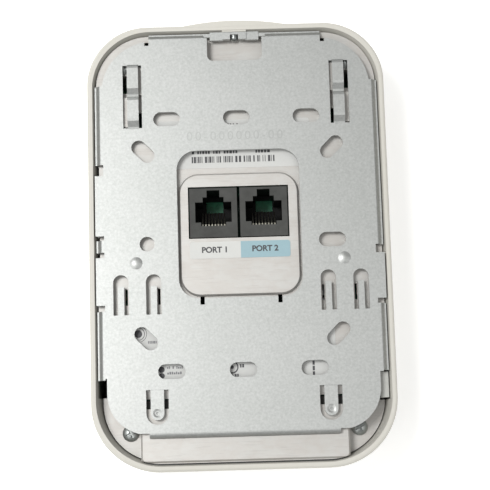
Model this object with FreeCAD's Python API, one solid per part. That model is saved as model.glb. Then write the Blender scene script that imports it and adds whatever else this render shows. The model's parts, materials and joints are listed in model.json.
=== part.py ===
"""Wall and ceiling access point with its sheet-metal mounting bracket still on.

The unit lies on its front face.  +Z points out of its back, towards the ceiling
or wall, +Y runs to the end with the security screw, and +X is to the right when
the back is seen with +Y up.  The origin is under the middle of the unit, on the
plane that its front face rests on.  All lengths are millimetres.  The functions
work about the middle of the bracket's slots, and main() moves the whole by SLOTS_Y.
"""
import FreeCAD
import Part
import math
import os

V = FreeCAD.Vector

# ---- heights ------------------------------------------------------------------
PLATE_TOP = 29.0
PLATE_T = 1.2
PLATE_UNDER = PLATE_TOP - PLATE_T
RIM_TOP = 28.6
COVER_TOP = 26.2
COVER_T = 0.8
COVER_UNDER = COVER_TOP - COVER_T
TRAY_TOP = 22.0
TRAY_UNDER = TRAY_TOP - COVER_T
RELIEF_TOP = 25.0
LAN_BOX_TOP = 27.0
PLATFORM_TOP = 27.4
JACK_FACE_Z = 27.0
BOARD_TOP = 12.4
BOARD_T = 1.6
BOARD_UNDER = BOARD_TOP - BOARD_T
FRONT_T = 2.2
BELLY_Z = 8.0

# ---- housing outlines: half width, half length, corner radii at +Y and at -Y ----
BELLY = (48.2, 72.6, 19.0, 21.3)
RIM_OUTER = (49.2, 73.6, 20.0, 22.3)
RIM_INNER = (47.5, 71.8, 19.3, 21.1)
LEDGE = (45.9, 70.4, 17.4, 19.2)
CAVITY = (46.95, 71.45, 18.8, 21.8)
COVER = (46.4, 70.8, 17.6, 19.5)
DISH_LIMIT = (45.6, 70.1, 17.1, 18.9)
SWELL_Y = 75.0
SWELL_HX = 19.0
SLOTS_Y = -(SWELL_Y - RIM_OUTER[1]) / 2
FRONT_ROUND = 7.0
RIM_ROUND = 0.8

# ---- back cover -----------------------------------------------------------------
LAN_BOX_HX = 33.4
LAN_BOX_Y = -46.5
LAN_BOX_END_Y = -70.5
LAN_BOX_R = 1.6
FIELD_BEVEL = 0.5
PLATFORM = (-19.6, 19.6, -17.3, 23.2, 6.5)
RELIEF_HX = 10.0
RELIEF_Y = 61.0
POCKET_X = (23.8, 32.2)
POCKET_Y = (-53.4, -50.2)
POCKET_RAMP_Y = -47.0
POCKET_RAMP = 0.55
LUG_TOP = 27.6
LUG_OUTER = (35.2, 37.6, 39.6, 49.6)
LUG_INNER = (30.8, 33.4, 50.4, 59.8)
LANCE_OUTER = (35.9, 37.6, 51.4, 57.6)
LANCE_INNER = (31.2, 32.8, 39.4, 44.6)
RAIL_VOID = (43.6, 48.0, -49.1, -43.4)
RAIL_GAPS = [(23.0, 26.8), (1.6, 3.0), (-4.2, -2.4)]

# ---- bracket ----------------------------------------------------------------------
PLATE_HX = 44.9
TAB_HX = 46.9
PLATE_Y1 = 69.0
PLATE_Y0 = -61.2
BEND_R_IN = 0.4
BEND_R_OUT = BEND_R_IN + PLATE_T
RAIL_SLOPE = 1.2
RAIL_DROP = 1.3
RAIL_LIP = 0.6
RAIL_LOW = PLATE_UNDER - RAIL_DROP
UPPER_CORNER = (44.3, 68.4, 17.2)
LOWER_CORNER = (43.8, -61.6, 13.2)
BOX_SLOT_L = 8.8
BOX_SLOT_W = 4.8
GANG_X = 23.0
GANG_Y = 41.65
ROUND_X = 30.15
HOLE_R = 2.45
DIAG_X = 31.0
DIAG_Y = 30.85
WINDOW = (-20.1, 20.1, -18.2, 30.7, 6.4)
NOTCH_HX = 9.1
NOTCH_Y = 61.1
NOTCH_X = 12.6
NOTCH_W = 1.4
NOTCH_LOW_Y = -20.3
CORNER_RELIEF_X = (28.5, 30.0)
CORNER_RELIEF_Y = 66.9
CLIP_WINDOW_X = (28.3, 38.9)
CLIP_WINDOW_Y = (-23.1, -9.95)
CLIP_WINDOW_W = 5.0
CLIP_TONGUE_W = 2.0
CLIP_TONGUE_END_Y = -13.7
CLIP_TONGUE_DROP = 0.5
CLIP_LANCE_X = (1.25, 2.0)
CLIP_LANCE_Y = (-19.6, -14.4)
BRIDGE_WINDOW = (31.1, 37.3, 38.85, 60.2)
BRIDGE_STRIP = (32.1, 35.8)
BRIDGE_RISE = 1.65
BRIDGE_T = 1.0
CREASE_Y = 49.6

# ---- detent tongues -------------------------------------------------------------------
TONGUE_X = 27.8
TONGUE_W = 4.3
TONGUE_ROOT_Y = -47.4
TONGUE_END_Y = -57.06
TONGUE_SLOT = 1.45
TONGUE_GAP = 0.05
DIMPLE_Y = -54.85
DIMPLE_R = 1.0
DIMPLE_DEPTH = 0.55
DIMPLE_RING_R = 1.45
DIMPLE_RING_DEPTH = 0.25

# ---- security screw, along Y ---------------------------------------------------------
SCREW_Z = 26.8
SCREW_R = 1.25
SCREW_BORE_R = 1.35
SCREW_TIP_Y = 68.2
SCREW_HEAD_Y = 73.4
SCREW_HEAD_R = 1.5
SCREW_HEAD_L = 1.2
FLANGE_SHELF_HX = 4.0
FLANGE_SHELF_TOP = 28.5
FLANGE_NOTCH_Y = 70.2

# ---- fasteners -----------------------------------------------------------------------
COVER_SCREWS = [(sx * 36.9, sy * 60.7) for sx in (-1, 1) for sy in (-1, 1)]
BOARD_SCREWS = [(-40.0, -38.0), (40.0, -34.0), (-40.0, 44.0), (40.0, 44.0)]
POST_R = 3.2
PILOT_R = 0.95
SHANK_R = 1.2
PAN_R = 2.65
PAN_H = 1.3

# ---- network sockets ---------------------------------------------------------------------
JACK_XS = (-8.4, 8.1)
JACK_W = 15.6
JACK_Y = (2.0, 18.4)
JACK_GAP = 0.4
JACK_OPEN_Y = 10.3
JACK_DEPTH = 12.0
LAN_PITCH = 16.0
LAN_COUNT = 4
LAN_W = 64.6
LAN_Y = (-71.3, -50.6)
LAN_H = 13.4
PLUG_STEPS = [(2.1, 3.0, 7.4), (3.45, 3.0, 5.1), (5.95, -3.3, 3.45), (4.1, -4.5, -3.2)]
LAN_STEPS = [(1.9, -6.4, -3.0), (3.2, -4.9, -3.0), (5.9, -3.3, 3.9)]
CONTACT_PITCH = 1.02
CONTACT_COUNT = 8
CONTACT_W = 0.45

# ---- mode button and status light -----------------------------------------------------------
PINHOLE_R = 0.8
PINHOLE_Y = -48.8
PINHOLE_Z = 24.9
BUTTON = (44.0, 46.6, -51.6, -43.4)
BUTTON_TOP = 26.2
BUTTON_TRAVEL = 0.8
BUTTON_GAP = 0.5
LED_X = 0.0
LED_Y = 62.0
LIGHT_PIPE_R = 1.5


# ---- small helpers -------------------------------------------------------------------------
def box(x0, x1, y0, y1, z0, z1):
    return Part.makeBox(x1 - x0, y1 - y0, z1 - z0, V(x0, y0, z0))


def cyl(x, y, z0, z1, r):
    return Part.makeCylinder(r, z1 - z0, V(x, y, z0))


def cyl_y(x, z, y0, y1, r):
    return Part.makeCylinder(r, y1 - y0, V(x, y0, z), V(0, 1, 0))


def fused(parts):
    return parts[0].multiFuse(parts[1:]).removeSplitter() if len(parts) > 1 else parts[0]


def mirrored(shape):
    return shape.mirror(V(0, 0, 0), V(1, 0, 0))


def rounded_wire(x0, x1, y0, y1, r_top, r_low, z):
    """A rectangle with one corner radius at its +Y end and another at its -Y end."""
    s = math.sqrt(0.5)
    corners = [
        (x1 - r_top, y1 - r_top, r_top, 1, 1), (x0 + r_top, y1 - r_top, r_top, -1, 1),
        (x0 + r_low, y0 + r_low, r_low, -1, -1), (x1 - r_low, y0 + r_low, r_low, 1, -1),
    ]
    arcs = []
    for cx, cy, r, sx, sy in corners:
        side = V(cx + sx * r, cy, z)
        end = V(cx, cy + sy * r, z)
        middle = V(cx + sx * r * s, cy + sy * r * s, z)
        first, last = (side, end) if sx * sy > 0 else (end, side)
        arcs.append((first, middle, last))
    edges = []
    for index, (first, middle, last) in enumerate(arcs):
        edges.append(Part.Arc(first, middle, last).toShape())
        following = arcs[(index + 1) % 4][0]
        if last.distanceToPoint(following) > 1e-6:
            edges.append(Part.makeLine(last, following))
    return Part.Wire(edges)


def rounded_prism(x0, x1, y0, y1, r, z0, z1, r_low=None):
    wire = rounded_wire(x0, x1, y0, y1, r, r if r_low is None else r_low, z0)
    return Part.Face(wire).extrude(V(0, 0, z1 - z0))


def outline_wire(outline, z, inset=0.0):
    hx, hy, r_top, r_low = outline
    return rounded_wire(inset - hx, hx - inset, inset - hy, hy - inset,
                        r_top - inset, r_low - inset, z)


def outline_prism(outline, z0, z1, inset=0.0):
    return Part.Face(outline_wire(outline, z0, inset)).extrude(V(0, 0, z1 - z0))


def blended(first, second, t):
    return tuple(a + (b - a) * t for a, b in zip(first, second))


def obround(cx, cy, length, width, angle, z0, z1):
    """A slot with round ends; angle 0 lies along X."""
    r = width / 2
    half = length / 2 - r
    body = box(-half, half, -r, r, z0, z1)
    shape = fused([body, cyl(-half, 0, z0, z1, r), cyl(half, 0, z0, z1, r)])
    shape.rotate(V(0, 0, 0), V(0, 0, 1), angle)
    shape.translate(V(cx, cy, 0))
    return shape


# ---- front housing -------------------------------------------------------------------------
def front_inset(z):
    """How far the rounded front edge draws in below the belly."""
    t = (BELLY_Z - z) / BELLY_Z
    return FRONT_ROUND * (1 - math.sqrt(max(0.0, 1 - t * t)))


def housing_skin():
    low = [outline_wire(BELLY, z, front_inset(z)) for z in (0.0, 0.9, 2.6, 5.0, BELLY_Z)]
    nose = Part.makeLoft(low, True, False)
    edge_z = RIM_TOP - RIM_ROUND
    edge = blended(BELLY, RIM_OUTER, (edge_z - BELLY_Z) / (RIM_TOP - BELLY_Z))
    wall = Part.makeLoft([outline_wire(BELLY, BELLY_Z), outline_wire(edge, edge_z)], True, True)
    steps = [(0.0, 0.0), (0.45, 0.1), (0.78, 0.38), (1.0, 1.0)]
    lip = [outline_wire(edge, edge_z + RIM_ROUND * up, RIM_ROUND * inward) for up, inward in steps]
    rounded_lip = Part.makeLoft(lip, True, False)
    below = box(-60, 60, -90, 90, -5, 0)
    return fused([nose, wall, rounded_lip]).cut(below)


def housing_cavity():
    low = []
    for z in (FRONT_T, 3.4, 5.2, BELLY_Z):
        inset = front_inset(z - FRONT_T * (BELLY_Z - z) / (BELLY_Z - FRONT_T))
        low.append(outline_wire(CAVITY, z, inset))
    nose = Part.makeLoft(low, True, False)
    straight = outline_prism(CAVITY, BELLY_Z, TRAY_UNDER)
    funnel = Part.makeLoft([outline_wire(LEDGE, TRAY_UNDER), outline_wire(RIM_INNER, RIM_TOP)],
                           True, True)
    return fused([nose, straight, funnel])


def screw_swell():
    """The outward swelling of the top wall round the security screw."""
    half, in_y = SWELL_HX, 73.0
    ends = [V(-half, in_y, 16.0), V(half, in_y, 16.0)]
    arc = Part.Arc(ends[0], V(0, SWELL_Y, 16.0), ends[1]).toShape()
    face = Part.Face(Part.Wire([arc, Part.makeLine(ends[1], ends[0])]))
    return face.extrude(V(0, 0, RIM_TOP - 0.1 - 16.0))


def screw_seat(y):
    """The lower cover screws sit in the two corner trays."""
    return TRAY_TOP if y < 0 else COVER_TOP


def housing_posts():
    posts = [cyl(x, y, 1.0, screw_seat(y) - COVER_T, POST_R) for x, y in COVER_SCREWS]
    posts += [cyl(x, y, 1.0, BOARD_UNDER, POST_R) for x, y in BOARD_SCREWS]
    return posts


def front_housing():
    wide_ribs = [box(-42, 42, y - 0.6, y + 0.6, FRONT_T - 0.5, 4.2) for y in (-30, 30)]
    long_ribs = [box(x - 0.6, x + 0.6, -64, 64, FRONT_T - 0.5, 4.2) for x in (-30, 30)]
    screw_boss = box(-4.0, 4.0, 71.2, 72.4, 22.0, RIM_TOP - 0.3)
    shell = housing_skin().fuse(screw_swell()).cut(housing_cavity())
    shell = fused([shell, screw_boss] + housing_posts() + wide_ribs + long_ribs)
    cuts = [cyl(x, y, 12.0, COVER_UNDER + 1, PILOT_R) for x, y in COVER_SCREWS]
    cuts += [cyl(x, y, 4.0, BOARD_UNDER + 1, PILOT_R) for x, y in BOARD_SCREWS]
    cuts.append(cyl_y(0, SCREW_Z, 70, 78, SCREW_BORE_R))
    cuts.append(cyl_y(0, SCREW_Z, SCREW_HEAD_Y, 78, SCREW_HEAD_R + 0.1))
    cuts.append(Part.makeCylinder(PINHOLE_R, 6, V(46.5, PINHOLE_Y, PINHOLE_Z), V(1, 0, 0)))
    cuts.append(box(BUTTON[0] - 1, BUTTON[1] + 0.4, BUTTON[2] - BUTTON_GAP,
                    BUTTON[3] + BUTTON_GAP, 18.0, BUTTON_TOP + 0.6))
    cuts.append(box(-46.9, -RAIL_VOID[0], RAIL_VOID[2] - 0.2, RAIL_VOID[3] + 0.2, 18.0, 26.8))
    cuts.append(cyl(LED_X, LED_Y, -1, FRONT_T + 1, LIGHT_PIPE_R + 0.05))
    for index in range(LAN_COUNT):
        x = lan_x(index)
        cuts.append(box(x - 7.0, x + 7.0, -80, -70, BOARD_TOP + 0.4, BOARD_TOP + LAN_H - 0.4))
    cuts.append(box(-LAN_W / 2 - 0.3, LAN_W / 2 + 0.3, LAN_Y[0] - 0.2, -60, BOARD_UNDER,
                    BOARD_TOP + LAN_H + 0.15))
    return shell.cut(Part.makeCompound(cuts))


# ---- back cover ---------------------------------------------------------------------------------
def raised_field(x0, x1, y0, y1, r, top):
    """A field pressed up from the cover, with a small slope round its top."""
    levels = [(COVER_UNDER - 1, 0.0), (top - FIELD_BEVEL, 0.0), (top, FIELD_BEVEL)]
    wires = [rounded_wire(x0 + inward, x1 - inward, y0 + inward, y1 - inward,
                          r - inward, r - inward, z) for z, inward in levels]
    return Part.makeLoft(wires, True, True)


def lan_box(inset):
    """The raised box over the row of network sockets; inset 0 is its outside."""
    side = LAN_BOX_HX - inset
    block = raised_field(-side, side, LAN_BOX_END_Y + inset, LAN_BOX_Y - inset,
                         LAN_BOX_R - inset, LAN_BOX_TOP - inset)
    return block.common(outline_prism(COVER, COVER_UNDER - 1, LAN_BOX_TOP, inset))


def platform(inset):
    """The raised field in the bracket's window, round the two rear sockets."""
    x0, x1, y0, y1, r = PLATFORM
    return raised_field(x0 + inset, x1 - inset, y0 + inset, y1 - inset, r - inset,
                        PLATFORM_TOP - inset)


def both_sides(x0, x1, y0, y1, z0, z1):
    return [box(x0, x1, y0, y1, z0, z1), box(-x1, -x0, y0, y1, z0, z1)]


def pressed_dish(x0, x1, y0, y1, floor_z):
    """A field pressed down from the cover, and the space over its floor."""
    body = box(x0 - COVER_T, x1 + COVER_T, y0 - COVER_T, y1 + COVER_T, floor_z - COVER_T, COVER_TOP)
    body = body.common(outline_prism(DISH_LIMIT, floor_z - COVER_T, COVER_TOP))
    return body, box(x0, x1, y0, y1, floor_z, 40)


def detent_pockets():
    """The two pockets under the tongues: a short ramp that ends in a lanced opening."""
    ramp = Part.Face(Part.makePolygon([
        V(0, POCKET_RAMP_Y, LAN_BOX_TOP), V(0, POCKET_Y[1], LAN_BOX_TOP - POCKET_RAMP),
        V(0, POCKET_Y[1], LAN_BOX_TOP + 1), V(0, POCKET_RAMP_Y, LAN_BOX_TOP + 1),
        V(0, POCKET_RAMP_Y, LAN_BOX_TOP)])).extrude(V(POCKET_X[1] - POCKET_X[0], 0, 0))
    ramp.translate(V(POCKET_X[0], 0, 0))
    return both_sides(*POCKET_X, *POCKET_Y, 20, 30) + [ramp, mirrored(ramp)]


def back_cover():
    dishes = [pressed_dish(LAN_BOX_HX, 60, -80, LAN_BOX_Y, TRAY_TOP),
              pressed_dish(-60, -LAN_BOX_HX, -80, LAN_BOX_Y, TRAY_TOP),
              pressed_dish(-RELIEF_HX, RELIEF_HX, RELIEF_Y, 80, RELIEF_TOP)]
    sheet = outline_prism(COVER, COVER_UNDER, COVER_TOP).fuse([body for body, _ in dishes])
    sheet = sheet.cut(Part.makeCompound([space for _, space in dishes]))
    raised = lan_box(0).fuse(platform(0)).common(box(-60, 60, -80, 80, COVER_UNDER, 40))
    solid = sheet.fuse(raised).cut(lan_box(COVER_T)).cut(platform(COVER_T))
    solid = solid.fuse(both_sides(*LUG_OUTER, COVER_UNDER, LUG_TOP)
                       + both_sides(*LUG_INNER, COVER_UNDER, LUG_TOP))
    cuts = both_sides(*LANCE_OUTER, 20, 30) + both_sides(*LANCE_INNER, 20, 30)
    cuts.append(box(JACK_XS[0] - JACK_W / 2 - JACK_GAP, JACK_XS[1] + JACK_W / 2 + JACK_GAP,
                    JACK_Y[0] - JACK_GAP, JACK_Y[1] + JACK_GAP, 20, 30))
    cuts.append(box(-LAN_W / 2 - 0.2, LAN_W / 2 + 0.2, -80, -60, 20, BOARD_TOP + LAN_H + 0.1))
    cuts.append(box(-30.25, 30.25, -62.9, -62.05, LAN_BOX_TOP - 0.5, 30))
    cuts += detent_pockets() + window_notches(PLATFORM[2] - 0.05)
    cuts += both_sides(*CORNER_RELIEF_X, CORNER_RELIEF_Y, CORNER_RELIEF_Y + 1.9, 20, 30)
    for x in CLIP_WINDOW_X:
        cuts += both_sides(x - CLIP_LANCE_X[1], x - CLIP_LANCE_X[0], *CLIP_LANCE_Y, 20, 30)
    cuts.append(box(-RAIL_VOID[1], -RAIL_VOID[0], RAIL_VOID[2], RAIL_VOID[3], 20, 30))
    cuts += [box(-48.0, -45.7, y0, y1, 20, 30) for y0, y1 in RAIL_GAPS]
    cuts.append(box(BUTTON[0] - BUTTON_TRAVEL - 0.3, 48.0, BUTTON[2] - BUTTON_GAP,
                    BUTTON[3] + BUTTON_GAP, 20, 30))
    cuts += [cyl(x, y, 20, 30, SHANK_R + 0.3) for x, y in COVER_SCREWS]
    return solid.cut(Part.makeCompound(cuts))


# ---- bracket --------------------------------------------------------------------------------------
def swept(start, out, along, length, profile):
    """A profile of (outward, height) points, carried along an edge of the plate."""
    points = [V(start[0] + out[0] * u, start[1] + out[1] * u, z) for u, z in profile]
    face = Part.Face(Part.makePolygon(points + points[:1]))
    return face.extrude(V(along[0] * length, along[1] * length, 0))


def slide_rail(start, out, along, length):
    """A rail: the plate's edge slopes down and ends in a flat lip."""
    slope, lip = RAIL_SLOPE, RAIL_SLOPE + RAIL_LIP
    low = PLATE_TOP - RAIL_DROP
    profile = [(-0.6, PLATE_TOP), (0.0, PLATE_TOP), (0.25, PLATE_TOP - 0.12),
               (slope - 0.1, low + 0.15), (slope + 0.15, low), (lip, low), (lip, RAIL_LOW),
               (slope - 0.4, RAIL_LOW), (-0.4, PLATE_UNDER), (-0.6, PLATE_UNDER)]
    return swept(start, out, along, length, profile)


def rolled_hem(start, out, along, length):
    """The short rounded hem along the lower edge."""
    bend = PLATE_TOP - BEND_R_OUT
    turns = [math.radians(a) for a in range(90, -1, -15)]
    outer = [(BEND_R_OUT * math.cos(a), bend + BEND_R_OUT * math.sin(a)) for a in turns]
    inner = [(BEND_R_IN * math.cos(a), bend + BEND_R_IN * math.sin(a)) for a in reversed(turns)]
    profile = [(-0.3, PLATE_TOP)] + outer + inner + [(-0.3, PLATE_UNDER)]
    return swept(start, out, along, length, profile)


def plate_blank():
    """The flat sheet with its cut corners and its side tabs, before any hole."""
    hx, y1, r = UPPER_CORNER
    upper = rounded_prism(-hx, hx, -20, y1, r, PLATE_UNDER, PLATE_TOP, 0.5)
    hx, y0, r = LOWER_CORNER
    lower = rounded_prism(-hx, hx, y0, 20, 0.5, PLATE_UNDER, PLATE_TOP, r)
    middle = box(-PLATE_HX, PLATE_HX, -43.4, 53.4, PLATE_UNDER, PLATE_TOP)
    top = box(-29.5, 29.5, 40, PLATE_Y1, PLATE_UNDER, PLATE_TOP)
    low = box(-31.0, 31.0, PLATE_Y0, -40, PLATE_UNDER, PLATE_TOP)
    low_edge = box(-60, 60, PLATE_Y0 - 9, PLATE_Y0, 20, 40)
    tabs = [
        box(-TAB_HX, -40, 3.0, 23.0, PLATE_UNDER, PLATE_TOP),
        box(-TAB_HX, -40, -19.8, -4.2, PLATE_UNDER, PLATE_TOP),
        box(40, TAB_HX, -19.7, -4.8, PLATE_UNDER, PLATE_TOP),
    ]
    return fused([upper, lower, middle, top, low] + tabs).cut(low_edge)


def edge_rails():
    left, right = -PLATE_HX, PLATE_HX
    runs_left = [(26.8, 53.4), (-2.4, 1.6), (-43.9, -21.7)]
    runs_right = [(-2.0, 53.4), (-43.0, -21.3)]
    rails = [slide_rail((left, y0), (-1, 0), (0, 1), y1 - y0) for y0, y1 in runs_left]
    rails += [slide_rail((right, y0), (1, 0), (0, 1), y1 - y0) for y0, y1 in runs_right]
    for x0, x1 in ((-28.5, -NOTCH_HX - 1.2), (NOTCH_HX + 1.2, 28.5)):
        rails.append(slide_rail((x0, PLATE_Y1), (0, 1), (1, 0), x1 - x0))
    rails.append(rolled_hem((-30.5, PLATE_Y0), (0, -1), (1, 0), 61.0))
    return rails


def edge_reliefs():
    """The small square reliefs punched where a bend meets a flat tab."""
    spans_left = [(23.0, 26.8), (1.6, 3.0), (-4.2, -2.4), (-21.7, -19.8)]
    spans_right = [(-4.8, -2.0), (-21.3, -19.7)]
    cuts = [box(-50, -44.1, y0, y1, 20, 40) for y0, y1 in spans_left]
    cuts += [box(44.1, 50, y0, y1, 20, 40) for y0, y1 in spans_right]
    return cuts + both_sides(*CORNER_RELIEF_X, CORNER_RELIEF_Y, 80, 20, 40)


def screw_flange():
    """The lock flange in the top notch: two ears and a middle tab with the screw hole."""
    wall_y0, wall_y1 = PLATE_Y1 + BEND_R_IN, PLATE_Y1 + BEND_R_OUT
    rail = box(-12.0, 12.0, wall_y0 + 0.2, wall_y1 + 0.2, RAIL_LOW, RAIL_LOW + PLATE_T)
    ears = []
    for side in (-1, 1):
        x0, x1 = sorted((side * 3.7, side * 8.1))
        ears.append(box(x0, x1, 68.4, wall_y1 + 0.6, 26.8, 28.0))
    tab = box(-3.3, 3.3, wall_y0, wall_y1, 25.3, 28.4)
    shelf = box(-FLANGE_SHELF_HX, FLANGE_SHELF_HX, 68.6, 71.0, 26.8, FLANGE_SHELF_TOP)
    tip_notch = box(-SCREW_BORE_R, SCREW_BORE_R, 60, FLANGE_NOTCH_Y, 20, 40)
    flange = fused([rail, tab, shelf] + ears)
    return flange.cut(tip_notch).cut(cyl_y(0, SCREW_Z, 60, 80, SCREW_BORE_R))


def bridge(side):
    """A lanced strip pressed up into two humps with a crease between them."""
    low_y, high_y = BRIDGE_WINDOW[2], BRIDGE_WINDOW[3]
    crest = PLATE_TOP + BRIDGE_RISE
    x0, x1 = sorted((side * BRIDGE_STRIP[0], side * BRIDGE_STRIP[1]))
    humps = []
    for top_y, foot_y in ((high_y + 0.3, CREASE_Y), (CREASE_Y, low_y - 0.3)):
        line = [(top_y, PLATE_TOP), (top_y - 0.9, crest - 0.4), (top_y - 1.5, crest - 0.15),
                (foot_y + 3.3, crest), (foot_y + 2.5, crest - 0.2), (foot_y + 0.7, PLATE_TOP + 0.25),
                (foot_y, PLATE_TOP)]
        under = [(y, z - BRIDGE_T) for y, z in reversed(line)]
        points = [V(x0, y, z) for y, z in line + under]
        humps.append(Part.Face(Part.makePolygon(points + points[:1])).extrude(V(x1 - x0, 0, 0)))
    return fused(humps)


def bridge_window(side):
    x0, x1 = sorted((side * BRIDGE_WINDOW[0], side * BRIDGE_WINDOW[1]))
    return box(x0, x1, BRIDGE_WINDOW[2], BRIDGE_WINDOW[3], 20, 40)


def window_notches(high_y):
    """The two small notches in the window's lower edge, with openings under them."""
    return both_sides(NOTCH_X - NOTCH_W / 2, NOTCH_X + NOTCH_W / 2, NOTCH_LOW_Y, high_y, 20, 40)


def clip_window(x):
    """An upright window with a stepped tongue standing in its lower half."""
    y0, y1 = CLIP_WINDOW_Y
    half = CLIP_WINDOW_W / 2
    opening = fused([box(x - half, x + half, y0, y1 - half, 20, 40),
                     cyl(x, y1 - half, 20, 40, half)])
    side = CLIP_TONGUE_W / 2
    tongue = fused([
        box(x - side, x + side, y0 - 0.5, y0 + 1.2, PLATE_UNDER, PLATE_TOP),
        box(x - side, x + side, y0 + 0.5, CLIP_TONGUE_END_Y, PLATE_UNDER - CLIP_TONGUE_DROP,
            PLATE_TOP - CLIP_TONGUE_DROP),
    ])
    return opening, tongue


def tongue_outline(grow, z0, z1):
    """The detent tongue's plan, grown on every free side."""
    half = TONGUE_W / 2 + grow
    end_y = TONGUE_END_Y + TONGUE_W / 2
    body = box(TONGUE_X - half, TONGUE_X + half, end_y, TONGUE_ROOT_Y, z0, z1)
    return fused([body, cyl(TONGUE_X, end_y, z0, z1, half)])


def mounting_bracket():
    blank = plate_blank()
    cuts = [rounded_prism(*WINDOW, 20, 40)]
    cuts += window_notches(-18.0)
    for x in (-GANG_X, 0.0, GANG_X):
        cuts += [obround(x, y, BOX_SLOT_L, BOX_SLOT_W, 0, 20, 40) for y in (-GANG_Y, GANG_Y)]
    cuts.append(obround(ROUND_X, 0, BOX_SLOT_L, BOX_SLOT_W, 0, 20, 40))
    cuts.append(cyl(-ROUND_X, 0, 20, 40, HOLE_R))
    for x, angle in ((-DIAG_X, -45), (DIAG_X, 45)):
        cuts += [obround(x, y, BOX_SLOT_L, BOX_SLOT_W, angle, 20, 40) for y in (-DIAG_Y, DIAG_Y)]
    cuts.append(rounded_prism(-NOTCH_HX, NOTCH_HX, NOTCH_Y, 90, 2.0, 20, 40))
    cuts += [bridge_window(side) for side in (-1, 1)]
    slot = tongue_outline(TONGUE_SLOT, 20, 40)
    cuts += [slot, mirrored(slot)]
    tongues = []
    for x in CLIP_WINDOW_X:
        for side in (-1, 1):
            opening, tongue = clip_window(side * x)
            cuts.append(opening)
            tongues.append(tongue)
    plate = blank.fuse(edge_rails()).cut(Part.makeCompound(edge_reliefs() + cuts))
    dimples = [Part.makeSphere(4.4, V(side * 33.8, -6.2, PLATE_TOP - 3.9)).common(
        box(-60, 60, -60, 60, PLATE_TOP - 0.2, 40)) for side in (-1, 1)]
    bridges = [bridge(side) for side in (-1, 1)]
    return fused([plate, screw_flange()] + tongues + dimples + bridges)


def detent_tongue():
    """The sprung tongue with its detent dimple pressed towards the unit."""
    body = tongue_outline(0.0, PLATE_UNDER, PLATE_TOP)
    body = body.cut(box(0, 60, TONGUE_ROOT_Y - TONGUE_GAP, -40, 20, 40))
    bump = cyl(TONGUE_X, DIMPLE_Y, PLATE_UNDER - DIMPLE_DEPTH, PLATE_UNDER, DIMPLE_R)
    ring = Part.makeCone(DIMPLE_R - 0.2, DIMPLE_RING_R, DIMPLE_RING_DEPTH,
                         V(TONGUE_X, DIMPLE_Y, PLATE_TOP - DIMPLE_RING_DEPTH))
    hollow = cyl(TONGUE_X, DIMPLE_Y, PLATE_TOP - DIMPLE_DEPTH - 0.3, PLATE_TOP, DIMPLE_R - 0.5)
    return body.fuse(bump).cut(ring).cut(hollow).removeSplitter()


# ---- fasteners --------------------------------------------------------------------------------
def cross_recess(x, y, top):
    arms = [box(x - 1.6, x + 1.6, y - 0.36, y + 0.36, top - 1.0, top + 1),
            box(x - 0.36, x + 0.36, y - 1.6, y + 1.6, top - 1.0, top + 1)]
    recess = fused(arms)
    recess.rotate(V(x, y, top), V(0, 0, 1), 28)
    return recess


def pan_screw(x, y, seat_z, length):
    """A cross-recessed pan head screw; the dome is a slice of a sphere."""
    dome_r = 4.4
    head = cyl(x, y, seat_z, seat_z + PAN_H, PAN_R).common(
        Part.makeSphere(dome_r, V(x, y, seat_z + PAN_H - dome_r)))
    shank = cyl(x, y, seat_z - length, seat_z, PILOT_R - 0.02)
    return head.fuse(shank).cut(cross_recess(x, y, seat_z + PAN_H)).removeSplitter()


def security_screw():
    shank = cyl_y(0, SCREW_Z, SCREW_TIP_Y + SCREW_R, SCREW_HEAD_Y, SCREW_R)
    tip = Part.makeSphere(SCREW_R, V(0, SCREW_TIP_Y + SCREW_R, SCREW_Z))
    head = cyl_y(0, SCREW_Z, SCREW_HEAD_Y, SCREW_HEAD_Y + SCREW_HEAD_L, SCREW_HEAD_R)
    drive = cyl_y(0, SCREW_Z, SCREW_HEAD_Y + 0.3, SCREW_HEAD_Y + 2, 0.9)
    return fused([shank, tip, head]).cut(drive)


# ---- sockets -------------------------------------------------------------------------------------
def rear_jack(x):
    body = box(x - JACK_W / 2, x + JACK_W / 2, JACK_Y[0], JACK_Y[1], BOARD_TOP + 0.02, JACK_FACE_Z)
    floor_z = JACK_FACE_Z - JACK_DEPTH
    cuts = [box(x - w, x + w, JACK_OPEN_Y + low, JACK_OPEN_Y + high, floor_z, 40)
            for w, low, high in PLUG_STEPS]
    cuts.append(box(x - 2.4, x + 3.2, JACK_OPEN_Y + 2.0, JACK_OPEN_Y + 6.2, 0, 20))
    return body.cut(fused(cuts))


def rear_contacts(x):
    """Eight sprung wires that slant across the lower half of the opening."""
    wires = []
    y_root, y_tip = JACK_OPEN_Y - 4.2, JACK_OPEN_Y + 1.0
    for index in range(CONTACT_COUNT):
        wx = x + (index - (CONTACT_COUNT - 1) / 2) * CONTACT_PITCH
        top = JACK_FACE_Z - 1.6
        points = [V(wx, y_root, top), V(wx, y_root, top - 0.5), V(wx, y_tip - 0.4, top - 5.0),
                  V(wx, y_tip, top - 5.0), V(wx, y_root + 0.5, top)]
        face = Part.Face(Part.makePolygon(points + [points[0]]))
        wire = face.extrude(V(CONTACT_W, 0, 0))
        wire.translate(V(-CONTACT_W / 2, 0, 0))
        wires.append(wire)
    return Part.makeCompound(wires)


def lan_x(index):
    return (index - (LAN_COUNT - 1) / 2) * LAN_PITCH


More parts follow.
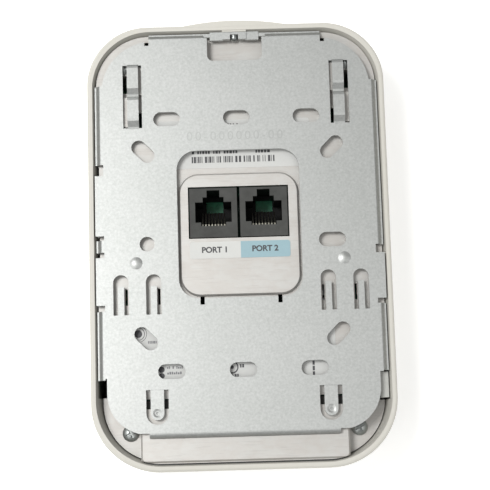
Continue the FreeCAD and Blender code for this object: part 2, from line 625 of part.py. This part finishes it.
def lan_jack_block():
    top = BOARD_TOP + LAN_H
    body = box(-LAN_W / 2, LAN_W / 2, LAN_Y[0], LAN_Y[1], BOARD_TOP + 0.02, top)
    middle_z = BOARD_TOP + 6.0
    cuts = []
    for index in range(LAN_COUNT):
        x = lan_x(index)
        cuts += [box(x - w, x + w, LAN_Y[0] - 1, LAN_Y[0] + JACK_DEPTH, middle_z - high,
                     middle_z - low) for w, low, high in LAN_STEPS]
    return body.cut(Part.makeCompound([fused(cuts[i:i + 3]) for i in range(0, len(cuts), 3)]))


def lan_contacts():
    wires = []
    for port in range(LAN_COUNT):
        for index in range(CONTACT_COUNT):
            wx = lan_x(port) + (index - (CONTACT_COUNT - 1) / 2) * CONTACT_PITCH
            z = BOARD_TOP + 6.0 - 3.7
            y = LAN_Y[0]
            points = [V(wx, y + 2.5, z), V(wx, y + 3.0, z), V(wx, y + 10.0, z + 3.0),
                      V(wx, y + 10.0, z + 3.6), V(wx, y + 2.5, z + 0.5)]
            face = Part.Face(Part.makePolygon(points + [points[0]]))
            wire = face.extrude(V(CONTACT_W, 0, 0))
            wire.translate(V(-CONTACT_W / 2, 0, 0))
            wires.append(wire)
    return Part.makeCompound(wires)


# ---- electronics ----------------------------------------------------------------------------------
def main_board():
    board = rounded_prism(-45.0, 45.0, -70.8, 66.0, 14.0, BOARD_UNDER, BOARD_TOP, 22.0)
    cuts = [cyl(x, y, 0, 40, POST_R + 0.4) for x, y in COVER_SCREWS]
    cuts += [cyl(x, y, 0, 40, SHANK_R + 0.2) for x, y in BOARD_SCREWS]
    cuts.append(box(42.4, 50, -52.5, -42.5, 0, 40))
    return board.cut(Part.makeCompound(cuts))


def chip(x, y, width, length, height, z0=BOARD_TOP):
    body = box(x - width / 2, x + width / 2, y - length / 2, y + length / 2, z0 + 0.05, z0 + height)
    mark = cyl(x - width / 2 + 1.2, y + length / 2 - 1.2, z0 + height - 0.15, z0 + height + 1, 0.45)
    return body.cut(mark)


def capacitor(x, y, radius, height):
    can = cyl(x, y, BOARD_TOP + 0.4, BOARD_TOP + height, radius)
    foot = box(x - radius, x + radius, y - radius, y + radius, BOARD_TOP + 0.02, BOARD_TOP + 0.6)
    return can.fuse(foot)


def inductor(x, y, side, height):
    body = box(x - side / 2, x + side / 2, y - side / 2, y + side / 2, BOARD_TOP + 0.02,
               BOARD_TOP + height)
    return body.cut(cyl(x, y, BOARD_TOP + height - 0.4, BOARD_TOP + height + 1, side * 0.36))


def transformer(x, y):
    core = box(x - 6.5, x + 6.5, y - 7.0, y + 7.0, BOARD_TOP + 0.5, BOARD_TOP + 9.5)
    bobbin = box(x - 8.0, x + 8.0, y - 5.0, y + 5.0, BOARD_TOP + 0.02, BOARD_TOP + 8.3)
    return core.fuse(bobbin).removeSplitter()


def shield_can(x, y, width, length):
    outer = box(x - width / 2, x + width / 2, y - length / 2, y + length / 2, BOARD_TOP + 0.02,
                BOARD_TOP + 2.4)
    inner = box(x - width / 2 + 0.3, x + width / 2 - 0.3, y - length / 2 + 0.3,
                y + length / 2 - 0.3, BOARD_TOP - 1, BOARD_TOP + 2.1)
    return outer.cut(inner)


def antenna(side, y, length):
    """A stamped inverted-F antenna that stands along the board's edge."""
    x = side * 42.0
    x0, x1 = sorted((x, x - side * 0.4))
    arm = box(x0, x1, y - length / 2, y + length / 2, BOARD_TOP + 4.6, BOARD_TOP + 7.0)
    legs = [box(x0, x1, y - length / 2 + d, y - length / 2 + d + 1.4, BOARD_TOP + 0.02,
                BOARD_TOP + 5.0) for d in (0.0, 5.0)]
    cap0, cap1 = sorted((x, x - side * 4.0))
    cap = box(cap0, cap1, y - length / 2, y + length / 2, BOARD_TOP + 6.6, BOARD_TOP + 7.0)
    return fused([arm, cap] + legs)


def heat_spreader():
    """A formed metal plate between the board and the front, with a raised pad field."""
    plate = rounded_prism(-27.0, 27.0, -27.0, 27.0, 4.0, 7.2, 8.2)
    pad = rounded_prism(-12.0, 12.0, -12.0, 12.0, 2.0, 8.2, 9.0)
    fins = [box(-24.0, 24.0, y - 0.5, y + 0.5, 5.2, 7.4) for y in range(-24, 25, 6)]
    return fused([plate, pad] + fins)


def light_pipe():
    stem = cyl(LED_X, LED_Y, 0.15, 8.2, LIGHT_PIPE_R)
    flange = cyl(LED_X, LED_Y, FRONT_T + 0.05, FRONT_T + 1.0, 2.6)
    return stem.fuse(flange).removeSplitter()


def status_led():
    return box(LED_X - 1.0, LED_X + 1.0, LED_Y - 0.8, LED_Y + 0.8, 8.6, BOARD_UNDER - 0.02)


def mode_button():
    """The slider behind the pinhole, with the leg that works the switch on the board."""
    x0, x1, y0, y1 = BUTTON
    bar = box(x0, x1, y0, y1, 22.6, BUTTON_TOP)
    leg = box(x0 + 0.6, x1 - 0.6, PINHOLE_Y - 1.8, PINHOLE_Y + 1.8, 12.6, 23.0)
    return bar.fuse(leg).removeSplitter()


def mode_switch():
    body = box(38.0, 41.4, PINHOLE_Y - 2.9, PINHOLE_Y + 2.9, BOARD_TOP + 0.02, BOARD_TOP + 3.4)
    stem = box(41.2, 43.6, PINHOLE_Y - 0.8, PINHOLE_Y + 0.8, BOARD_TOP + 1.0, BOARD_TOP + 2.6)
    return body.fuse(stem).removeSplitter()


def label(x0, x1, y0, y1, r, seat_z):
    return rounded_prism(x0, x1, y0, y1, r, seat_z, seat_z + 0.1)


# ---- output ----------------------------------------------------------------------------------------
def all_nodes():
    tongue = detent_tongue()
    return {
        "mounting_bracket": mounting_bracket(),
        "detent_tongue_right": tongue,
        "detent_tongue_left": mirrored(tongue),
        "security_screw": security_screw(),
        "front_housing": front_housing(),
        "back_cover": back_cover(),
        "cover_screws": Part.makeCompound([pan_screw(x, y, screw_seat(y), 9.0)
                                           for x, y in COVER_SCREWS]),
        "board_screws": Part.makeCompound([pan_screw(x, y, BOARD_TOP, 6.0)
                                           for x, y in BOARD_SCREWS]),
        "uplink_jack": rear_jack(JACK_XS[0]),
        "uplink_contacts": rear_contacts(JACK_XS[0]),
        "console_jack": rear_jack(JACK_XS[1]),
        "console_contacts": rear_contacts(JACK_XS[1]),
        "lan_jack_block": lan_jack_block(),
        "lan_contacts": lan_contacts(),
        "main_board": main_board(),
        "processor_chip": chip(0, -2, 17, 17, 1.6, BOARD_UNDER - 1.65),
        "memory_chips": Part.makeCompound([chip(x, -24, 9, 13, 1.2) for x in (-6, 6)]),
        "switch_chip": chip(0, -42, 12, 12, 1.3),
        "radio_chips": Part.makeCompound([chip(x, 38, 7, 7, 1.1) for x in (-20, 20)]),
        "radio_shield_left": shield_can(-20, 38, 22, 20),
        "radio_shield_right": shield_can(20, 38, 22, 20),
        "power_transformer": transformer(-28, -16),
        "uplink_magnetics": chip(-30, 8, 12, 16, 6.0),
        "power_inductors": Part.makeCompound([inductor(x, y, 7, 4) for x, y in
                                              ((-30, -32), (30, -30), (28, 12))]),
        "capacitors": Part.makeCompound([capacitor(x, y, 3.1, 7.5) for x, y in
                                         ((27, -14), (34, -14), (27, -21), (34, -21))]),
        "antenna_left_upper": antenna(-1, 24, 26),
        "antenna_right_upper": antenna(1, 24, 26),
        "antenna_left_lower": antenna(-1, -8, 18),
        "antenna_right_lower": antenna(1, -8, 18),
        "heat_spreader": heat_spreader(),
        "light_pipe": light_pipe(),
        "status_led": status_led(),
        "mode_button": mode_button(),
        "mode_switch": mode_switch(),
        "port_label": label(-16.4, 16.4, -5.05, 0.4, 0.8, PLATFORM_TOP),
        "serial_label": label(-26.0, 24.0, 25.25, 41.55, 0.8, COVER_TOP),
        "rating_label": label(-36.8, 30.0, -45.6, -24.4, 0.8, COVER_TOP),
    }


def main():
    os.makedirs("parts", exist_ok=True)
    for name, shape in all_nodes().items():
        shape.translate(V(0, SLOTS_Y, 0))
        shape.exportStep("parts/" + name + ".step")


main()
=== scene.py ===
"""Looks of the access point: it lies on its front, seen from behind, with its bracket on."""

import json
import math
import random

import bpy
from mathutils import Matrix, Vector


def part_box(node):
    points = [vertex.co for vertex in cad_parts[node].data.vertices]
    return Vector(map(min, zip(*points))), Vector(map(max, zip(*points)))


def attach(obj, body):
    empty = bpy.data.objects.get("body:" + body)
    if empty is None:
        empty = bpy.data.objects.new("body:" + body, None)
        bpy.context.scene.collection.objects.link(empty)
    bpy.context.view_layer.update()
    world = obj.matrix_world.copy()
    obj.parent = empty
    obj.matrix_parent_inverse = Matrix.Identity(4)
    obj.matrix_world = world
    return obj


MM = 0.001

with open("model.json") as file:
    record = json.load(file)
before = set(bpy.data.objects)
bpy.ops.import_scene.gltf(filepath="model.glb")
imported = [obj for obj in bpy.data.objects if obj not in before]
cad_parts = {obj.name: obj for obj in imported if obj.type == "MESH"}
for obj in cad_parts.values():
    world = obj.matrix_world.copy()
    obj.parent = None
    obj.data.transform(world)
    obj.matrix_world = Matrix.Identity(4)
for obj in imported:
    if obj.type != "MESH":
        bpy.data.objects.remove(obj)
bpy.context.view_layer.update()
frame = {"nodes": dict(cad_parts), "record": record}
NODES = frame["nodes"]

# ---- camera: the view from behind, a little from the lower end -------------------------
LENS_MM = 113.14
CAMERA_AT = (-1.95, -86.77, 522.32)
CAMERA_TURN = (9.77, -0.13, -1.66)


def add_camera():
    data = bpy.data.cameras.new("camera")
    data.lens = LENS_MM
    data.sensor_width = 36.0
    camera = bpy.data.objects.new("camera", data)
    camera.location = [v * MM for v in CAMERA_AT]
    camera.rotation_euler = [math.radians(v) for v in CAMERA_TURN]
    bpy.context.scene.collection.objects.link(camera)
    bpy.context.scene.camera = camera


# ---- light and floor ---------------------------------------------------------------------
# Each light: name, place and size in metres, power in watts, colour.
LIGHT_AIM = (0, 0, 0.02)
LIGHTS = [
    ("key", (-0.44, 0.17, 1.02), (0.28, 0.36), 6.8, (1, 0.998, 0.99)),
    ("left_fill", (-0.51, -0.38, 1.00), (0.6, 0.6), 2.6, (1, 1, 0.99)),
    ("right_fill", (0.64, -0.30, 1.00), (0.9, 0.9), 2.4, (1, 1, 0.99)),
    ("side", (-0.60, 0.90, 0.40), (1.0, 0.45), 2.2, (1, 1, 1)),
]
WORLD_COLOUR = (1.0, 0.995, 0.985, 1)
WORLD_STRENGTH = 0.38
FLOOR_HALF = 3.0
FLOOR_DROP = 0.0002
# The floor glows a little, which keeps it white where the soft lights fall off.
FLOOR_GLOW = 0.38


def add_area(name, at, size, watts, colour):
    data = bpy.data.lights.new(name, "AREA")
    data.shape = "RECTANGLE"
    data.size, data.size_y = size
    data.energy = watts
    data.color = colour
    light = bpy.data.objects.new(name, data)
    light.location = at
    direction = Vector(LIGHT_AIM) - Vector(at)
    light.rotation_euler = direction.to_track_quat("-Z", "Y").to_euler()
    bpy.context.scene.collection.objects.link(light)


def add_stage():
    world = bpy.data.worlds.new("world")
    bpy.context.scene.world = world
    world.use_nodes = True
    background = world.node_tree.nodes["Background"]
    background.inputs["Color"].default_value = WORLD_COLOUR
    background.inputs["Strength"].default_value = WORLD_STRENGTH
    bpy.context.scene.view_settings.view_transform = "Standard"
    for light in LIGHTS:
        add_area(*light)
    add_floor()


def add_floor():
    mesh = bpy.data.meshes.new("floor")
    side = FLOOR_HALF
    mesh.from_pydata([(-side, -side, 0), (side, -side, 0), (side, side, 0), (-side, side, 0)],
                     [], [(0, 1, 2, 3)])
    floor = bpy.data.objects.new("floor", mesh)
    floor.location.z = -FLOOR_DROP
    bpy.context.scene.collection.objects.link(floor)
    material = Material("floor_white")
    material.set(base=(0.95, 0.95, 0.94), roughness=0.9, emission_strength=FLOOR_GLOW,
                 emission_color=(1, 1, 1, 1))
    floor.data.materials.append(material.finished())


def box_mm(node):
    """The low and high corners of a CAD node, in millimetres."""
    return [[v / MM for v in corner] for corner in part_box(node)]


# ---- materials -----------------------------------------------------------------------------
class Material:
    """A node material over object coordinates, with a few named moves."""

    def __init__(self, name):
        self.data = bpy.data.materials.new(name)
        self.data.use_nodes = True
        self.tree = self.data.node_tree
        self.shader = self.tree.nodes["Principled BSDF"]
        self.place = self.tree.nodes.new("ShaderNodeTexCoord").outputs["Object"]

    def finished(self):
        return self.data

    def node(self, kind, **values):
        made = self.tree.nodes.new(kind)
        for key, value in values.items():
            setattr(made, key, value)
        return made

    def link(self, source, target):
        self.tree.links.new(source, target)

    def set(self, base=None, metallic=None, roughness=None, specular_ior_level=None, **more):
        if base is not None:
            self.shader.inputs["Base Color"].default_value = (*base, 1)
        if metallic is not None:
            self.shader.inputs["Metallic"].default_value = metallic
        if roughness is not None:
            self.shader.inputs["Roughness"].default_value = roughness
        if specular_ior_level is not None:
            self.shader.inputs["Specular IOR Level"].default_value = specular_ior_level
        for key, value in more.items():
            self.shader.inputs[key.replace("_", " ").title()].default_value = value

    def noise(self, size_mm, detail=4.0, rough=0.55, stretch=None):
        """Noise whose main features are about size_mm across."""
        place = self.place
        if stretch:
            mapping = self.node("ShaderNodeMapping")
            mapping.inputs["Scale"].default_value = stretch
            self.link(place, mapping.inputs["Vector"])
            place = mapping.outputs["Vector"]
        noise = self.node("ShaderNodeTexNoise")
        noise.inputs["Scale"].default_value = 1.0 / (size_mm * MM)
        noise.inputs["Detail"].default_value = detail
        noise.inputs["Roughness"].default_value = rough
        self.link(place, noise.inputs["Vector"])
        return noise.outputs["Fac"]

    def ramp(self, factor, stops):
        ramp = self.node("ShaderNodeValToRGB")
        elements = ramp.color_ramp.elements
        while len(elements) < len(stops):
            elements.new(0.5)
        for element, (at, colour) in zip(elements, stops):
            element.position = at
            element.color = (*colour, 1)
        self.link(factor, ramp.inputs["Fac"])
        return ramp.outputs["Color"]

    def mix(self, factor, first, second, blend="MIX"):
        mix = self.node("ShaderNodeMix", data_type="RGBA", blend_type=blend)
        for socket, value in ((mix.inputs[0], factor), (mix.inputs[6], first),
                              (mix.inputs[7], second)):
            if isinstance(value, (int, float)):
                socket.default_value = value
            elif isinstance(value, tuple):
                socket.default_value = (*value, 1)
            else:
                self.link(value, socket)
        return mix.outputs[2]

    def span(self, value, low, high):
        """Maps a 0..1 value to low..high."""
        spread = self.node("ShaderNodeMapRange")
        spread.inputs["To Min"].default_value = low
        spread.inputs["To Max"].default_value = high
        self.link(value, spread.inputs["Value"])
        return spread.outputs["Result"]

    def step(self, value, edge, width):
        """0 below edge, 1 above it, with a ramp of the given width."""
        spread = self.node("ShaderNodeMapRange")
        spread.inputs["From Min"].default_value = edge - width / 2
        spread.inputs["From Max"].default_value = edge + width / 2
        self.link(value, spread.inputs["Value"])
        return spread.outputs["Result"]

    def axis(self, name):
        split = self.node("ShaderNodeSeparateXYZ")
        self.link(self.place, split.inputs["Vector"])
        return split.outputs[name]

    def colour(self, source):
        self.link(source, self.shader.inputs["Base Color"])

    def rough(self, source):
        self.link(source, self.shader.inputs["Roughness"])

    def bump(self, height, depth_mm, strength=1.0):
        bump = self.node("ShaderNodeBump")
        bump.inputs["Distance"].default_value = depth_mm * MM
        bump.inputs["Strength"].default_value = strength
        self.link(height, bump.inputs["Height"])
        self.link(bump.outputs["Normal"], self.shader.inputs["Normal"])


def galvanised_steel():
    m = Material("galvanised_steel")
    m.set(metallic=0.8, roughness=0.5)
    tone = m.ramp(m.noise(30.0, 3.0), [(0.3, (0.50, 0.512, 0.500)), (0.7, (0.525, 0.535, 0.525))])
    rolled = m.ramp(m.noise(1.6, 4.0, 0.7, (1, 9, 1)), [(0.3, (0.94, 0.94, 0.94)), (0.7, (1, 1, 1))])
    grain = m.ramp(m.noise(0.8, 4.0, 0.8), [(0.34, (0.80, 0.805, 0.80)), (0.66, (1.0, 1.0, 1.0))])
    m.colour(m.mix(1.0, m.mix(1.0, tone, rolled, "MULTIPLY"), grain, "MULTIPLY"))
    m.rough(m.span(m.noise(0.9, 5.0), 0.39, 0.51))
    m.bump(m.noise(0.6, 3.0, 0.7), 0.016)
    return m.finished()


def cover_metal():
    m = Material("cover_metal")
    m.set(metallic=0.55, roughness=0.45)
    tone = m.ramp(m.noise(22.0, 5.0, 0.6, (1, 2.4, 1)),
                  [(0.30, (0.50, 0.488, 0.465)), (0.5, (0.525, 0.517, 0.495)), (0.72, (0.55, 0.547, 0.53))])
    stain = m.ramp(m.noise(8.0, 8.0, 0.65, (1, 1.8, 1)),
                   [(0.42, (1.0, 1.0, 1.0)), (0.55, (0.965, 0.945, 0.935)), (0.66, (1.0, 1.0, 1.0))])
    scratch = m.ramp(m.noise(3.0, 2.0, 0.5, (0.35, 6, 1)),
                     [(0.58, (1.0, 1.0, 1.0)), (0.66, (0.92, 0.92, 0.92)), (0.74, (1.0, 1.0, 1.0))])
    m.colour(m.mix(1.0, m.mix(1.0, tone, stain, "MULTIPLY"), scratch, "MULTIPLY"))
    m.rough(m.span(m.noise(4.0, 5.0), 0.38, 0.56))
    m.bump(m.noise(0.7, 4.0), 0.008)
    return m.finished()


def housing_plastic():
    m = Material("housing_plastic")
    m.set(roughness=0.5)
    tone = m.ramp(m.noise(40.0, 3.0), [(0.3, (0.59, 0.575, 0.52)), (0.7, (0.615, 0.60, 0.55))])
    speck = m.ramp(m.noise(1.2, 5.0, 0.6), [(0.3, (0.97, 0.97, 0.965)), (0.65, (1.0, 1.0, 1.0))])
    m.colour(m.mix(1.0, tone, speck, "MULTIPLY"))
    m.rough(m.span(m.noise(2.5, 4.0), 0.42, 0.56))
    m.bump(m.noise(0.35, 3.0), 0.012)
    return m.finished()


def jack_plastic(name, axis, face_mm):
    """Dark plastic whose colour below its face along one axis is painted shade, black inside the openings.
    """
    m = Material(name)
    m.set(roughness=0.5, specular_ior_level=0.12)
    face = m.ramp(m.noise(5.0, 6.0, 0.7), [(0.3, (0.056, 0.057, 0.054)), (0.7, (0.084, 0.085, 0.081))])
    # Painted shade: below the face the colour goes near black, standing in for the shade deep in the
    # openings.
    inside = m.ramp(m.noise(2.0, 4.0), [(0.3, (0.004, 0.004, 0.004)), (0.7, (0.010, 0.010, 0.010))])
    m.colour(m.mix(m.step(m.axis(axis), face_mm * MM, 0.0006), inside, face))
    m.rough(m.span(m.noise(1.0, 4.0), 0.42, 0.6))
    m.bump(m.noise(0.4, 3.0), 0.015)
    return m.finished()


def plain_metal(name, colour, rough, grain=0.06, stretch=(1, 1, 1)):
    m = Material(name)
    m.set(metallic=1.0, roughness=rough)
    darker = tuple(c * (1 - grain * 2) for c in colour)
    m.colour(m.ramp(m.noise(0.8, 5.0, 0.65, stretch), [(0.3, darker), (0.7, colour)]))
    m.rough(m.span(m.noise(0.6, 4.0), rough - 0.06, rough + 0.08))
    m.bump(m.noise(0.3, 3.0, 0.5, stretch), 0.006)
    return m.finished()


def board_laminate():
    m = Material("board_laminate")
    m.set(roughness=0.32)
    mask = m.ramp(m.noise(3.0, 6.0, 0.7), [(0.35, (0.010, 0.11, 0.055)), (0.65, (0.025, 0.20, 0.105))])
    tracks = m.ramp(m.noise(1.1, 2.0, 0.4, (1, 7, 1)), [(0.49, (1, 1, 1)), (0.53, (1.35, 1.3, 1.2))])
    m.colour(m.mix(1.0, mask, tracks, "MULTIPLY"))
    m.bump(m.noise(1.1, 2.0, 0.4, (1, 7, 1)), 0.02)
    return m.finished()


def dark_package(name, colour, rough=0.5):
    m = Material(name)
    lighter = tuple(c * 1.5 for c in colour)
    m.set(roughness=rough)
    m.colour(m.ramp(m.noise(0.9, 5.0, 0.7), [(0.3, colour), (0.75, lighter)]))
    m.rough(m.span(m.noise(0.5, 3.0), rough - 0.08, rough + 0.1))
    m.bump(m.noise(0.25, 3.0), 0.01)
    return m.finished()


def label_paper(name, left, right, split_x):
    """Coated paper; left and right of split_x it may have two colours."""
    m = Material(name)
    m.set(roughness=0.42)
    side = m.step(m.axis("X"), split_x * MM, 0.0001)
    paper = m.mix(side, left, right)
    fibre = m.ramp(m.noise(0.9, 5.0, 0.6), [(0.3, (0.965, 0.965, 0.96)), (0.7, (1, 1, 1))])
    m.colour(m.mix(1.0, paper, fibre, "MULTIPLY"))
    m.bump(m.noise(1.5, 4.0), 0.008)
    return m.finished()


def clear_plastic():
    m = Material("clear_plastic")
    m.set(base=(0.86, 0.9, 0.93), roughness=0.18, transmission_weight=0.6)
    m.rough(m.span(m.noise(0.6, 3.0), 0.12, 0.28))
    return m.finished()


def button_plastic():
    m = Material("button_plastic")
    m.set(roughness=0.42)
    m.colour(m.ramp(m.noise(2.5, 4.0), [(0.3, (0.47, 0.475, 0.45)), (0.7, (0.53, 0.535, 0.51))]))
    m.bump(m.noise(0.4, 3.0), 0.01)
    return m.finished()


def ink(name, colour):
    m = Material(name)
    m.set(roughness=0.5)
    lighter = tuple(c * 1.25 + 0.02 for c in colour)
    m.colour(m.ramp(m.noise(0.4, 4.0, 0.7), [(0.35, colour), (0.7, lighter)]))
    return m.finished()


WHITE_PAPER = (0.61, 0.615, 0.60)
PORT_WHITE = (0.62, 0.625, 0.605)
PORT_BLUE = (0.30, 0.445, 0.495)
PORT_SPLIT_X = 0.25
# How far under its rear face the socket colour turns to painted shade.
SOCKET_SHADE_DEPTH = 0.7


def give(node, material):
    node.data.materials.clear()
    node.data.materials.append(material)


def dress_nodes():
    rear_face = box_mm("uplink_jack")[1][2]
    by_slot = {
        "bracket_steel": galvanised_steel(),
        "cover_metal": cover_metal(),
        "housing_plastic": housing_plastic(),
        "jack_plastic": jack_plastic("jack_plastic", "Z", rear_face - SOCKET_SHADE_DEPTH),
        "contact_metal": plain_metal("contact_gold", (0.34, 0.33, 0.28), 0.36),
        "screw_steel": plain_metal("screw_nickel", (0.38, 0.40, 0.39), 0.36, 0.12),
        "board_laminate": board_laminate(),
        "chip_black": dark_package("chip_black", (0.018, 0.018, 0.02)),
        "shield_tin": plain_metal("shield_tin", (0.72, 0.73, 0.73), 0.34, 0.05, (1, 6, 1)),
        "antenna_metal": plain_metal("antenna_brass", (0.70, 0.58, 0.36), 0.35, 0.05, (6, 1, 1)),
        "cast_aluminium": plain_metal("cast_aluminium", (0.62, 0.63, 0.64), 0.5, 0.1),
        "light_pipe_clear": clear_plastic(),
        "button_grey": button_plastic(),
        "label_paper": label_paper("paper_white", WHITE_PAPER, WHITE_PAPER, 0.0),
        "core_ferrite": dark_package("core_ferrite", (0.03, 0.028, 0.028), 0.62),
    }
    slots = {part["node"]: part["material_slot"] for part in frame["record"]["subparts"]}
    for name, node in NODES.items():
        give(node, by_slot[slots[name]])
    give(NODES["lan_jack_block"], dark_package("lan_jack_plastic", (0.030, 0.031, 0.029)))
    give(NODES["port_label"], label_paper("paper_blue", PORT_WHITE, PORT_BLUE, PORT_SPLIT_X))


# ---- print on the labels --------------------------------------------------------------------
# Places and sizes are in millimetres.
INK_LIFT = 0.02
INK_THICK = 0.02
LETTER_THICK = 0.01
LETTER_SPREAD = 0.09
PORT_LETTER = 2.6
PORT_NUMBER_X = 8.2
RATING_ROW_Y = -42.35
RATING_LETTER = 0.85
SEED = 7
MARK_STEPS = 36
PLATE_TOP = 29.0
STAMP_AT = (-0.7, 34.7)
STAMP_LETTER = 4.2
STAMP_SPACING = 1.35


def mesh_piece(name, verts, faces, material):
    mesh = bpy.data.meshes.new(name)
    mesh.from_pydata(verts, [], faces)
    mesh.update()
    piece = bpy.data.objects.new(name, mesh)
    bpy.context.scene.collection.objects.link(piece)
    mesh.materials.append(material)
    return piece


def plates_mesh(name, rects, z, material):
    """Thin flat bars, one for each (x0, x1, y0, y1), as one piece."""
    verts, faces = [], []
    for x0, x1, y0, y1 in rects:
        b = len(verts)
        for level in (z, z + INK_THICK):
            verts += [(x0 * MM, y0 * MM, level * MM), (x1 * MM, y0 * MM, level * MM),
                      (x1 * MM, y1 * MM, level * MM), (x0 * MM, y1 * MM, level * MM)]
        faces += [(b + 3, b + 2, b + 1, b), (b + 4, b + 5, b + 6, b + 7)]
        faces += [(b + i, b + (i + 1) % 4, b + 4 + (i + 1) % 4, b + 4 + i) for i in range(4)]
    return mesh_piece(name, verts, faces, material)


def text_piece(name, text, x, y, z, height, material, spread=LETTER_SPREAD):
    curve = bpy.data.curves.new(name, "FONT")
    curve.body = text
    curve.size = height * MM
    curve.align_x = "CENTER"
    curve.align_y = "CENTER"
    curve.extrude = LETTER_THICK * MM
    curve.offset = spread * MM
    piece = bpy.data.objects.new(name, curve)
    piece.location = (x * MM, y * MM, z * MM)
    bpy.context.scene.collection.objects.link(piece)
    curve.materials.append(material)
    return piece


def disc_mesh(name, marks, z, material):
    """Flat discs and rings: (x, y, inner radius, outer radius, first and last angle)."""
    verts, faces = [], []
    for x, y, inner, outer, first, last in marks:
        base = len(verts)
        for index in range(MARK_STEPS + 1):
            angle = math.radians(first + (last - first) * index / MARK_STEPS)
            top = z + INK_THICK
            for radius, level in ((inner, z), (outer, z), (inner, top), (outer, top)):
                verts.append(((x + radius * math.cos(angle)) * MM,
                              (y + radius * math.sin(angle)) * MM, level * MM))
        for index in range(MARK_STEPS):
            a = base + 4 * index
            b = a + 4
            faces += [(a, b, b + 1, a + 1), (a + 2, a + 3, b + 3, b + 2),
                      (a + 1, b + 1, b + 3, a + 3), (a, a + 2, b + 2, b)]
    return mesh_piece(name, verts, faces, material)


def bars(rng, x0, x1, y0, y1):
    """Upright bars of uneven width, like a machine-read code, with no code in them."""
    rects = []
    x = x0
    while x < x1:
        width = rng.choice((0.22, 0.22, 0.45, 0.7))
        rects.append((x, min(x + width, x1), y0, y1))
        x += width + rng.choice((0.25, 0.25, 0.5, 0.85))
    return rects


def word_strips(rng, x0, x1, y0, height):
    """A line of grey strips that stands in for small print."""
    rects = []
    x = x0
    while x < x1 - 0.5:
        width = rng.uniform(0.35, 0.7) * height
        if rng.random() > 0.14:
            tall = height * rng.choice((1.0, 1.0, 0.72))
            rects.append((x, min(x + width, x1), y0, y0 + tall))
        x += width + 0.22 * height
    return rects


def port_print(ink_black):
    low, high = box_mm("port_label")
    middle = (low[1] + high[1]) / 2
    top = high[2] + INK_LIFT
    return [
        text_piece("port_1_number", "PORT 1", -PORT_NUMBER_X, middle, top, PORT_LETTER, ink_black),
        text_piece("port_2_number", "PORT 2", PORT_NUMBER_X, middle + 0.1, top, PORT_LETTER,
                   ink_black),
    ]


def serial_print(rng, ink_black):
    low, high = box_mm("serial_label")
    z = high[2] + INK_LIFT
    bar_y = low[1] + 1.85
    print_y = low[1] + 4.85
    code = bars(rng, -15.1, 12.2, bar_y, bar_y + 2.1)
    pieces = [plates_mesh("serial_bars", code, z, ink_black)]
    lines = word_strips(rng, -15.0, 0.5, print_y, 1.3)
    lines += word_strips(rng, 6.0, 11.0, print_y, 1.3)
    lines += word_strips(rng, -2.9, 1.3, high[1] - 2.1, 0.8)
    pieces.append(plates_mesh("serial_print", lines, z, ink_black))
    return pieces


def rating_print(rng, ink_black, ink_grey):
    """Strips, discs and rings where the bracket's openings show the label."""
    z = box_mm("serial_label")[1][2] + INK_LIFT
    row = RATING_ROW_Y
    small = []
    for x0, x1, y in ((-24.6, -18.9, row + 1.1), (-24.6, -18.9, row - 0.7),
                      (-30.6, -27.2, -32.9), (-12.0, -7.0, row), (8.0, 14.0, row),
                      (-24.6, -5.0, -35.0), (-24.6, 2.0, -38.0), (4.0, 20.0, -35.0)):
        small += word_strips(rng, x0, x1, y, RATING_LETTER)
    pieces = [plates_mesh("rating_print", small, z, ink_grey)]
    bold = word_strips(rng, -1.1, 0.9, row + 0.9, 1.1)
    bold += word_strips(rng, -2.9, -1.5, row - 2.0, 0.9)
    bold += [(22.3, 23.0, row - 2.4, row - 1.0), (22.3, 23.0, row - 0.7, row + 0.8),
             (22.3, 23.0, row + 1.1, row + 2.4)]
    pieces.append(plates_mesh("rating_bold_print", bold, z, ink_black))
    marks = [(-33.7, -29.7, 0.0, 1.25, 0, 360), (-33.7, -29.7, 1.9, 2.1, -80, 80),
             (-33.7, -29.7, 2.6, 2.75, -70, 70), (-26.4, row + 0.9, 0.0, 1.0, 0, 360),
             (-26.3, row - 1.1, 0.0, 0.9, 0, 360), (-3.7, row + 1.1, 1.7, 2.1, 0, 360),
             (-3.7, row + 1.1, 0.0, 0.6, 0, 360)]
    pieces.append(disc_mesh("rating_marks", marks, z, ink_black))
    return pieces


def add_prints():
    rng = random.Random(SEED)
    ink_black = ink("ink_black", (0.045, 0.045, 0.05))
    ink_grey = ink("ink_grey", (0.16, 0.16, 0.17))
    pieces = port_print(ink_black)
    pieces += serial_print(rng, ink_black)
    pieces += rating_print(rng, ink_black, ink_grey)
    for piece in pieces:
        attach(piece, "access_point")


def add_stamp():
    """A faint row of noughts on the bracket, over its window, standing for its stamped marks; the letters
    are a darker metal, painted shade of the stamped impressions.
    """
    # The darker metal of the letters is painted shade for the stamped marks.
    shade = plain_metal("stamp_painted_shade", (0.43, 0.44, 0.43), 0.5)
    stamp = text_piece("stamped_row", "00-000000-00", *STAMP_AT, PLATE_TOP + INK_LIFT,
                       STAMP_LETTER, shade, spread=0.0)
    stamp.data.space_character = STAMP_SPACING
    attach(stamp, "mounting_bracket")


add_camera()
add_stage()
dress_nodes()
add_prints()
add_stamp()
